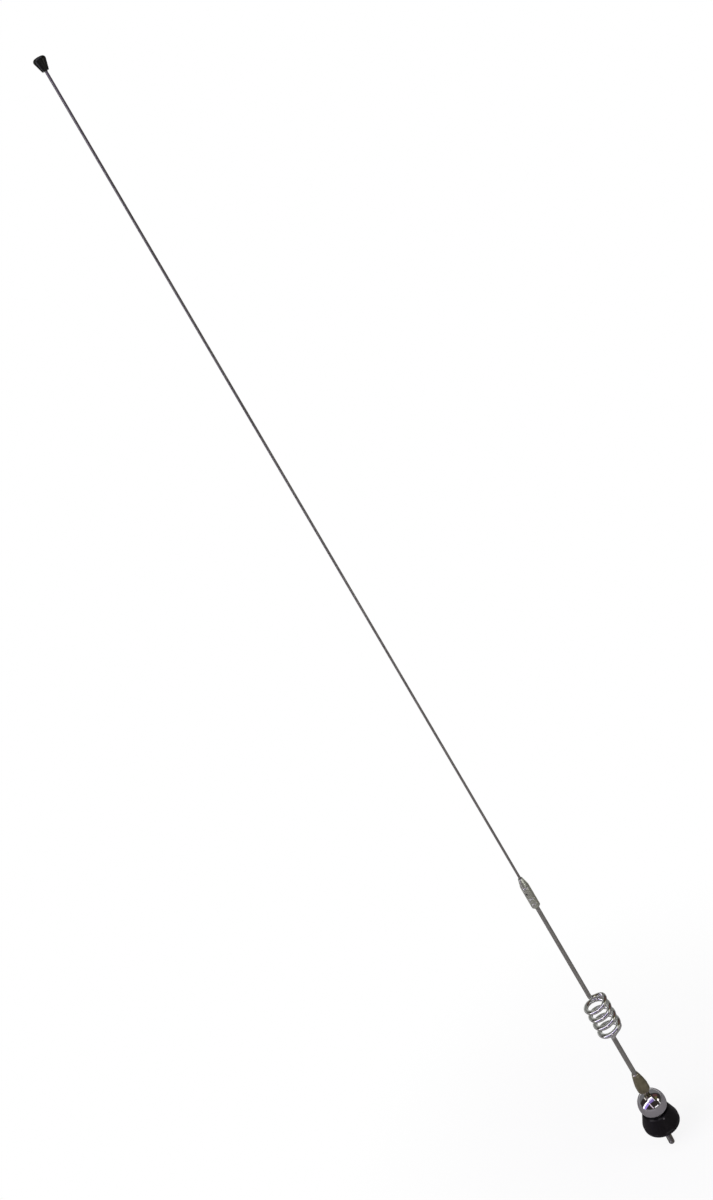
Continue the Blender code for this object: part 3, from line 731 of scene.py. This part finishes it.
def new_object(name, work):
    """A linked object from a bmesh, which is used up."""
    bmesh.ops.remove_doubles(work, verts=work.verts, dist=MERGE)
    bmesh.ops.recalc_face_normals(work, faces=work.faces)
    mesh = bpy.data.meshes.new(name)
    work.to_mesh(mesh)
    work.free()
    obj = bpy.data.objects.new(name, mesh)
    bpy.context.scene.collection.objects.link(obj)
    return obj


def skin_rings(work, rings, closed=False):
    """Faces between neighbouring rings of points; a ring of one point is a tip."""
    following = rings[1:] + (rings[:1] if closed else [])
    for upper, lower in zip(rings, following):
        steps = max(len(upper), len(lower))
        for step in range(steps):
            ahead = (step + 1) % steps
            corners = [
                upper[step % len(upper)],
                upper[ahead % len(upper)],
                lower[ahead % len(lower)],
                lower[step % len(lower)],
            ]
            corners = list(dict.fromkeys(corners))
            if len(corners) > 2:
                work.faces.new(corners)


def turned(name, outline, steps=TURNED_STEPS, closed=False, cut_in=None):
    """A shape turned about Z. cut_in tells how deep the surface lies under the outline at a point."""
    work = bmesh.new()
    rings = []
    for radius, height in outline:
        if radius < MERGE:
            rings.append([work.verts.new((0.0, 0.0, height))])
            continue
        ring = []
        for step in range(steps):
            angle = 2 * math.pi * step / steps
            reach = radius - (cut_in(angle, radius, height) if cut_in else 0.0)
            ring.append(work.verts.new((reach * math.cos(angle), reach * math.sin(angle), height)))
        rings.append(ring)
    skin_rings(work, rings, closed)
    return new_object(name, work)


def plug(name, start, end, radius, steps=TURNED_STEPS):
    """A solid round bar from one point to another."""
    start, end = Vector(start), Vector(end)
    length = (end - start).length
    bar = turned(name, [(0.0, length), (radius, length), (radius, 0.0), (0.0, 0.0)], steps)
    turn = (end - start).to_track_quat("Z", "Y").to_matrix().to_4x4()
    bar.data.transform(Matrix.Translation(start) @ turn)
    return bar


def block(name, size, turn):
    """A rectangular bar through the origin's axis, turned about Z."""
    work = bmesh.new()
    bmesh.ops.create_cube(work, size=1.0)
    lift = Matrix.Translation((0, 0, CONE_BOTTOM))
    place = Matrix.Rotation(turn, 4, "Z") @ lift @ Matrix.Diagonal((*size, 1.0))
    bmesh.ops.transform(work, matrix=place, verts=work.verts)
    return new_object(name, work)


def cut(obj, cutter):
    """Takes the cutter out of the object, and then the cutter away."""
    modifier = obj.modifiers.new("cut", "BOOLEAN")
    modifier.operation = "DIFFERENCE"
    modifier.solver = "EXACT"
    modifier.object = cutter
    bpy.context.view_layer.update()
    graph = bpy.context.evaluated_depsgraph_get()
    mesh = bpy.data.meshes.new_from_object(obj.evaluated_get(graph), depsgraph=graph)
    obj.modifiers.clear()
    obj.data = mesh
    bpy.data.objects.remove(cutter, do_unlink=True)


def dress(obj, place, body, node, finish):
    """Shades a piece, puts it in its place, gives it its finish and hands it to its body."""
    mesh = obj.data
    mesh.name = obj.name
    mesh.shade_smooth()
    mesh.set_sharp_from_angle(angle=SHARP_ANGLE)
    mesh.materials.clear()
    mesh.materials.append(finish)
    obj.matrix_world = place
    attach(obj, body)
    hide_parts(node)


def make_gasket():
    hole = BUSH_RADIUS + RUNNING_CLEARANCE
    corners = [
        (hole, GASKET_THICKNESS, 0),
        (FOOT_RADIUS, GASKET_THICKNESS, 2 * EDGE_BREAK),
        (FOOT_RADIUS, 0.0, 2 * EDGE_BREAK),
        (hole, 0.0, 0),
    ]
    gasket = turned("foot_gasket", filleted(corners, closed=True), closed=True)
    dress(gasket, UPRIGHT, "base", "gasket", gasket_rubber())


def make_bush():
    top = CONE_BOTTOM + BUSH_SEAT_DEPTH
    corners = [
        (BOLT_BORE, top, EDGE_BREAK),
        (BUSH_RADIUS, top, EDGE_BREAK),
        (BUSH_RADIUS, -BUSH_SPIGOT, 2 * EDGE_BREAK),
        (BOLT_BORE, -BUSH_SPIGOT, EDGE_BREAK),
    ]
    bush = turned("fender_bush", filleted(corners, closed=True), closed=True)
    dress(bush, UPRIGHT, "base", "insulator_bush", natural_nylon())


def cone_radius_at(height):
    """The cone's outer radius on its slope."""
    foot = CONE_BOTTOM + FOOT_LIP
    return FOOT_RADIUS + (RIM_RADIUS - FOOT_RADIUS) * (height - foot) / (RIM_HEIGHT - foot)


def make_cone():
    socket_radius = BUSH_RADIUS + SEAT_GAP
    socket_top = CONE_BOTTOM + BUSH_SEAT_DEPTH + SEAT_GAP
    cup = sphere_arc(CUP_RADIUS, BOLT_BORE, CUP_EDGE_RADIUS, below=True, centre_height=BALL_HEIGHT)
    side = filleted(
        [
            (*cup[-2], 0),
            (*cup[-1], EDGE_BREAK),
            (RIM_RADIUS, RIM_HEIGHT, 3 * EDGE_BREAK),
            (FOOT_RADIUS, CONE_BOTTOM + FOOT_LIP, 3 * EDGE_BREAK),
            (FOOT_RADIUS, CONE_BOTTOM, EDGE_BREAK),
            (socket_radius, CONE_BOTTOM, 0),
        ]
    )
    outline = cup[:-2] + side + [(socket_radius, socket_top), (BOLT_BORE, socket_top)]
    cone = turned("cone_foot", outline, BALL_STEPS, closed=True)
    core_top = CONE_BOTTOM + CORE_DEPTH
    core_floor = CONE_BOTTOM - CORE_DEPTH
    boss = socket_radius + BOSS_WALL
    core_corners = [
        (boss, core_top, EDGE_BREAK),
        (cone_radius_at(core_top) - CONE_WALL, core_top, 3 * EDGE_BREAK),
        (FOOT_RADIUS - CONE_WALL, CONE_BOTTOM + FOOT_LIP, 0),
        (FOOT_RADIUS - CONE_WALL, core_floor, 0),
        (boss, core_floor, 0),
    ]
    core = turned("core", filleted(core_corners, closed=True), closed=True)
    for index in range(RIB_BARS):
        size = (4 * FOOT_RADIUS, RIB_THICKNESS, 4 * CORE_DEPTH)
        cut(core, block("rib", size, math.pi * index / RIB_BARS))
    cut(cone, core)
    dress(cone, UPRIGHT, "base", "base_cone", cone_plastic())


def saddle_top():
    """The height, from the ball's centre, of the flat that the bolt's head bears on."""
    return -math.sqrt((BALL_INSIDE - SEAT_GAP) ** 2 - SADDLE_RADIUS**2) + EDGE_BREAK


def thread_cut(angle, radius, height):
    """How deep the thread is at a point of the bolt's shank; it runs out inside the bush."""
    shank_top = CONE_BOTTOM - BALL_HEIGHT
    if height > shank_top:
        return 0.0
    phase = (height / THREAD_PITCH - angle / (2 * math.pi)) % 1.0
    from_crest = min(phase, 1.0 - phase)
    slope = (1 - THREAD_CREST - THREAD_ROOT) / 2
    share = min(1.0, max(0.0, (from_crest - THREAD_CREST / 2) / slope))
    runout = min(1.0, (shank_top - height) / THREAD_RUNOUT)
    return max(0.0, THREAD_DEPTH * share * runout - (BOLT_RADIUS - radius))


def make_bolt(zinc):
    head_bottom = saddle_top() + SEAT_GAP
    head_top = head_bottom + BOLT_HEAD_HEIGHT
    tip = -BALL_HEIGHT - BOLT_REACH
    head = filleted(
        [
            (0.0, head_top, 0),
            (BOLT_HEAD_RADIUS, head_top, BOLT_HEAD_HEIGHT / 2),
            (BOLT_HEAD_RADIUS, head_bottom, EDGE_BREAK),
            (BOLT_RADIUS, head_bottom, EDGE_BREAK),
            (BOLT_RADIUS, tip, 0),
        ]
    )
    shank_top = CONE_BOTTOM - BALL_HEIGHT
    rows = round((shank_top - tip) / THREAD_PITCH * THREAD_ROWS)
    shank = []
    for row in range(rows + 1):
        height = shank_top + (tip - shank_top) * row / rows
        chamfer = max(0.0, BOLT_TIP_CHAMFER - (height - tip))
        shank.append((BOLT_RADIUS - chamfer, height))
    bolt = turned("threaded_bolt", head[:-1] + shank + [(0.0, tip)], cut_in=thread_cut)
    dress(bolt, SWIVEL_PLACE, "stud", "clamp_bolt", zinc)


def make_saddle(zinc):
    hole = BOLT_RADIUS + FIT_CLEARANCE
    under = sphere_arc(BALL_INSIDE - SEAT_GAP, SADDLE_RADIUS, hole, below=True, points=12)
    outline = [(hole, saddle_top()), (SADDLE_RADIUS, saddle_top())] + under
    saddle = turned("seat_washer", outline, closed=True)
    dress(saddle, SWIVEL_PLACE, "stud", "saddle_washer", zinc)


def slot_cutter():
    """The shape that the bolt sweeps as the mast leans, from inside the ball to outside it."""
    across = Vector((0.0, BOLT_BORE, 0.0))
    stations = []
    for side in (1, -1):
        for step in range(ARC_POINTS + 1):
            angle = side * LEAN_LIMIT * (1 - 2 * step / ARC_POINTS)
            stations.append((angle, across * side))
        end = -side * LEAN_LIMIT
        along = Vector((math.cos(end), 0.0, math.sin(end))) * BOLT_BORE
        for step in range(1, ARC_POINTS):
            turn = math.pi * step / ARC_POINTS
            stations.append((end, across * side * math.cos(turn) - along * side * math.sin(turn)))
    work = bmesh.new()
    loops = []
    for radius in (BALL_INSIDE / 2, BALL_RADIUS * CUTTER_REACH):
        loop = []
        for angle, aside in stations:
            way = Vector((math.sin(angle), 0.0, -math.cos(angle)))
            loop.append(work.verts.new(way * radius + aside))
        loops.append(loop)
    skin_rings(work, loops)
    ends = [work.faces.new(loop) for loop in loops]
    bmesh.ops.triangulate(work, faces=ends)
    return new_object("slot", work)


def make_ball():
    """A hollow ball with a flat and a tapped hole on top, and the bolt's slot below."""
    hole = SPIGOT_RADIUS + FIT_CLEARANCE
    inside = sphere_arc(BALL_INSIDE, 0.0, BALL_INSIDE, below=True)
    inside += sphere_arc(BALL_INSIDE, BALL_INSIDE, hole, below=False)[1:]
    outside = sphere_arc(BALL_RADIUS, BALL_FLAT_RADIUS, BALL_RADIUS, below=False)
    outside += sphere_arc(BALL_RADIUS, BALL_RADIUS, 0.0, below=True)[1:]
    ball = turned("chrome_ball", inside + [(hole, BALL_FLAT)] + outside, BALL_STEPS)
    cut(ball, slot_cutter())
    dress(ball, MAST_PLACE, "mast", "ball", ball_chrome())


def make_ferrule():
    bore = MAST_BOTTOM_RADIUS + FIT_CLEARANCE
    spigot_tip = BALL_INSIDE - SPIGOT_STAND
    bore_floor = FERRULE_TOP - FERRULE_SOCKET
    taper = []
    for step in range(1, TAPER_POINTS):
        share = 1 - step / TAPER_POINTS
        radius = FERRULE_TOP_RADIUS + (BELLY_RADIUS - FERRULE_TOP_RADIUS) * (1 - share**TAPER_SWELL)
        taper.append((radius, BELLY_TOP + share * UPPER_TAPER, 0))
    corners = [
        (0.0, bore_floor, 0),
        (bore, bore_floor, 0),
        (bore, FERRULE_TOP, 0),
        (FERRULE_TOP_RADIUS - MOUTH_INSET, FERRULE_TOP, 0.5 * EDGE_BREAK),
        (FERRULE_TOP_RADIUS + MOUTH_STEP, FERRULE_TOP - MOUTH_CHAMFER, EDGE_BREAK),
        *taper,
        (BELLY_RADIUS, BELLY_TOP, 0),
        (BELLY_RADIUS, BELLY_BOTTOM, 2 * EDGE_BREAK),
        (NECK_RADIUS, FERRULE_BOTTOM + NECK_LENGTH, 2 * EDGE_BREAK),
        (NECK_RADIUS, FERRULE_BOTTOM, 0),
        (SPIGOT_RADIUS, FERRULE_BOTTOM, 0),
        (SPIGOT_RADIUS, spigot_tip, EDGE_BREAK),
        (0.0, spigot_tip, 0),
    ]
    ferrule = turned("brass_ferrule", filleted(corners))
    dress(ferrule, MAST_PLACE, "mast", "ferrule", ferrule_brass())


def coil_point(bearing, height):
    """A point on the coil's centre line; bearings run clockwise from +Y, seen from above."""
    return Vector((COIL_OFFSET + COIL_RADIUS * math.sin(bearing), COIL_RADIUS * math.cos(bearing), height))


def coil_heading(bearing):
    """The way the coil runs at a bearing, going down it."""
    fall = COIL_PITCH / (2 * math.pi)
    return Vector((COIL_RADIUS * math.cos(bearing), -COIL_RADIUS * math.sin(bearing), -fall)).normalized()


def coil_leg(axis_height, axis_heading, rim, rim_heading):
    """Points of a leg that leaves the rod's axis and swings out onto the coil."""
    start = Vector((0.0, 0.0, axis_height))
    pulls = (start, start + axis_heading * LEG_DROP, rim - rim_heading * LEG_SWEEP, rim)
    points = []
    for step in range(LEG_POINTS):
        share = step / LEG_POINTS
        rest = 1 - share
        weights = (rest**3, 3 * share * rest**2, 3 * share**2 * rest, share**3)
        points.append(sum((pull * weight for pull, weight in zip(pulls, weights)), Vector()))
    return points


def straight(start_height, end_height):
    """Points along the rod's axis, without the last."""
    drop = end_height - start_height
    return [Vector((0.0, 0.0, start_height + drop * step / ROD_STATIONS)) for step in range(ROD_STATIONS)]


def mast_route():
    """The mast's centre line, from its end in the coupler down to its end in the ferrule."""
    down, up = Vector((0, 0, -1)), Vector((0, 0, 1))
    upper_rim = COIL_TOP - COIL_LEG_HEIGHT
    lower_rim = COIL_BOTTOM + COIL_LEG_HEIGHT
    last_bearing = COIL_BEARING + 2 * math.pi * COIL_TURNS
    count = math.ceil(COIL_POINTS_PER_TURN * COIL_TURNS)
    winding = []
    for step in range(count + 1):
        share = step / count
        bearing = COIL_BEARING + (last_bearing - COIL_BEARING) * share
        winding.append(coil_point(bearing, upper_rim + (lower_rim - upper_rim) * share))
    upper_leg = coil_leg(COIL_TOP, down, winding[0], coil_heading(COIL_BEARING))
    lower_leg = coil_leg(COIL_BOTTOM, up, winding[-1], -coil_heading(last_bearing))
    top = COUPLER_BOTTOM + MAST_SOCKET - SEAT_GAP
    bottom = FERRULE_TOP - FERRULE_SOCKET + SEAT_GAP
    upper_rod = straight(top, COIL_TOP)
    lower_rod = [Vector((0, 0, COIL_BOTTOM + bottom - point.z)) for point in straight(bottom, COIL_BOTTOM)]
    end = Vector((0, 0, bottom))
    return [*upper_rod, *upper_leg, *winding, *reversed(lower_leg), *lower_rod[1:], end]


def swept_rod(name, route, start_radius, end_radius):
    """A tapered rod along a route, with capped ends; its rings turn as little as they can."""
    run = [0.0]
    for before, after in zip(route, route[1:]):
        run.append(run[-1] + (after - before).length)
    work = bmesh.new()
    rings = []
    side = Vector((1.0, 0.0, 0.0))
    for index, centre in enumerate(route):
        heading = (route[min(index + 1, len(route) - 1)] - route[max(index - 1, 0)]).normalized()
        side = (side - heading * side.dot(heading)).normalized()
        across = heading.cross(side)
        radius = start_radius + (end_radius - start_radius) * run[index] / run[-1]
        ring = []
        for step in range(ROD_SIDES):
            angle = 2 * math.pi * step / ROD_SIDES
            ring.append(work.verts.new(centre + (side * math.cos(angle) + across * math.sin(angle)) * radius))
        rings.append(ring)
    tips = [[work.verts.new(route[0])], [work.verts.new(route[-1])]]
    skin_rings(work, [tips[0], *rings, tips[1]])
    return new_object(name, work)


def make_mast():
    mast = swept_rod("wound_mast", mast_route(), MAST_TOP_RADIUS, MAST_BOTTOM_RADIUS)
    dress(mast, MAST_PLACE, "mast", "coil_mast", mast_steel())


def groove(height):
    """Corners of a ring groove, from its upper edge to its lower one."""
    half = GROOVE_WIDTH / 2
    first, last = GROOVE_TILTS
    corners = [(COUPLER_RADIUS, height + half, 0)]
    for step in range(GROOVE_POINTS + 1):
        tilt = last + (first - last) * step / GROOVE_POINTS
        depth = GROOVE_ROUNDING * (math.cos(first) - math.cos(tilt))
        rise = GROOVE_ROUNDING * (math.sin(tilt) - math.sin(first))
        corners.append((COUPLER_RADIUS - depth, height - half + rise, 0))
    return corners


def screw_axis_point(distance):
    """A point on the grub screw's axis, by its distance from the coupler's."""
    return Vector((-distance * math.sin(SCREW_TURN), -distance * math.cos(SCREW_TURN), SCREW_HEIGHT))


def make_coupler():
    whip_bore = WHIP_BASE_RADIUS + FIT_CLEARANCE
    mast_bore = MAST_TOP_RADIUS + FIT_CLEARANCE
    whip_floor = WHIP_BOTTOM - SEAT_GAP
    corners = [
        (0.0, whip_floor, 0),
        (whip_bore, whip_floor, 0),
        (whip_bore, COUPLER_TOP, 0),
        (NOSE_TIP_RADIUS, COUPLER_TOP, EDGE_BREAK),
        (COUPLER_RADIUS, NOSE_SHOULDER, 3 * EDGE_BREAK),
        *groove(TOP_GROOVE),
        *groove(MIDDLE_GROOVE),
        *groove(LOW_GROOVE),
        (COUPLER_RADIUS, COUPLER_BOTTOM + TAIL_CHAMFER, EDGE_BREAK),
        (TAIL_RADIUS, COUPLER_BOTTOM, 0.5 * EDGE_BREAK),
        (mast_bore, COUPLER_BOTTOM, 0),
        (mast_bore, COUPLER_BOTTOM + MAST_SOCKET, 0),
        (0.0, COUPLER_BOTTOM + MAST_SOCKET, 0),
    ]
    coupler = turned("ringed_coupler", filleted(corners))
    outside = screw_axis_point(2 * COUPLER_RADIUS)
    inside = screw_axis_point(whip_bore / 2)
    cut(coupler, plug("screw_hole", outside, inside, SCREW_RADIUS + FIT_CLEARANCE))
    dress(coupler, MAST_PLACE, "mast", "coupler", coupler_steel())


def make_grub_screw(zinc):
    face_distance = COUPLER_RADIUS - SCREW_SUNK
    face = screw_axis_point(face_distance)
    tip = screw_axis_point(WHIP_BASE_RADIUS + SEAT_GAP)
    length = (tip - face).length
    corners = [
        (0.0, length, 0),
        (SCREW_RADIUS, length, EDGE_BREAK),
        (SCREW_RADIUS, 0.0, EDGE_BREAK),
        (0.0, 0.0, 0),
    ]
    screw = turned("grub_screw", filleted(corners), 48)
    turn = (face - tip).to_track_quat("Z", "Y").to_matrix().to_4x4()
    screw.data.transform(Matrix.Translation(tip) @ turn)
    mouth = screw_axis_point(face_distance + HEX_DEPTH)
    floor = screw_axis_point(face_distance - HEX_DEPTH)
    cut(screw, plug("hex_socket", mouth, floor, HEX_ACROSS_FLATS / math.sqrt(3), 6))
    dress(screw, MAST_PLACE, "mast", "coupler_screw", zinc)


def make_whip():
    run = [(WHIP_TIP_RADIUS, WHIP_TOP, EDGE_BREAK)]
    for step in range(1, ROD_STATIONS):
        share = step / ROD_STATIONS
        radius = WHIP_TIP_RADIUS + (WHIP_BASE_RADIUS - WHIP_TIP_RADIUS) * share
        run.append((radius, WHIP_TOP + (COUPLER_TOP - WHIP_TOP) * share, 0))
    corners = [
        (0.0, WHIP_TOP, 0),
        *run,
        (WHIP_BASE_RADIUS, COUPLER_TOP, 0),
        (WHIP_BASE_RADIUS, WHIP_BOTTOM, EDGE_BREAK),
        (0.0, WHIP_BOTTOM, 0),
    ]
    whip = turned("tapered_whip", filleted(corners), 48)
    dress(whip, MAST_PLACE, "mast", "whip", whip_steel())


def make_cap():
    bore = max(WHIP_TIP_RADIUS, WHIP_BASE_RADIUS) + FIT_CLEARANCE
    bore_top = WHIP_TOP + SEAT_GAP
    corners = [
        (0.0, CAP_TOP, 0),
        (CAP_RADIUS, CAP_TOP - CAP_CROWN, CAP_EDGE),
        (CAP_NECK_RADIUS, CAP_BOTTOM, 2 * EDGE_BREAK),
        (bore, CAP_BOTTOM, 0.5 * EDGE_BREAK),
        (bore, bore_top, 0),
        (0.0, bore_top, 0),
    ]
    cap = turned("rubber_tip", filleted(corners, points=2 * FILLET_POINTS))
    dress(cap, MAST_PLACE, "mast", "tip_cap", cap_rubber())


bpy.context.scene.view_settings.view_transform = "Standard"
place_camera()
light_room()
hang_lamps()
lay_floor()

make_gasket()
make_bush()
make_cone()
zinc = zinc_plate()
make_bolt(zinc)
make_saddle(zinc)
make_ball()
make_ferrule()
make_mast()
make_coupler()
make_grub_screw(zinc)
make_whip()
make_cap()
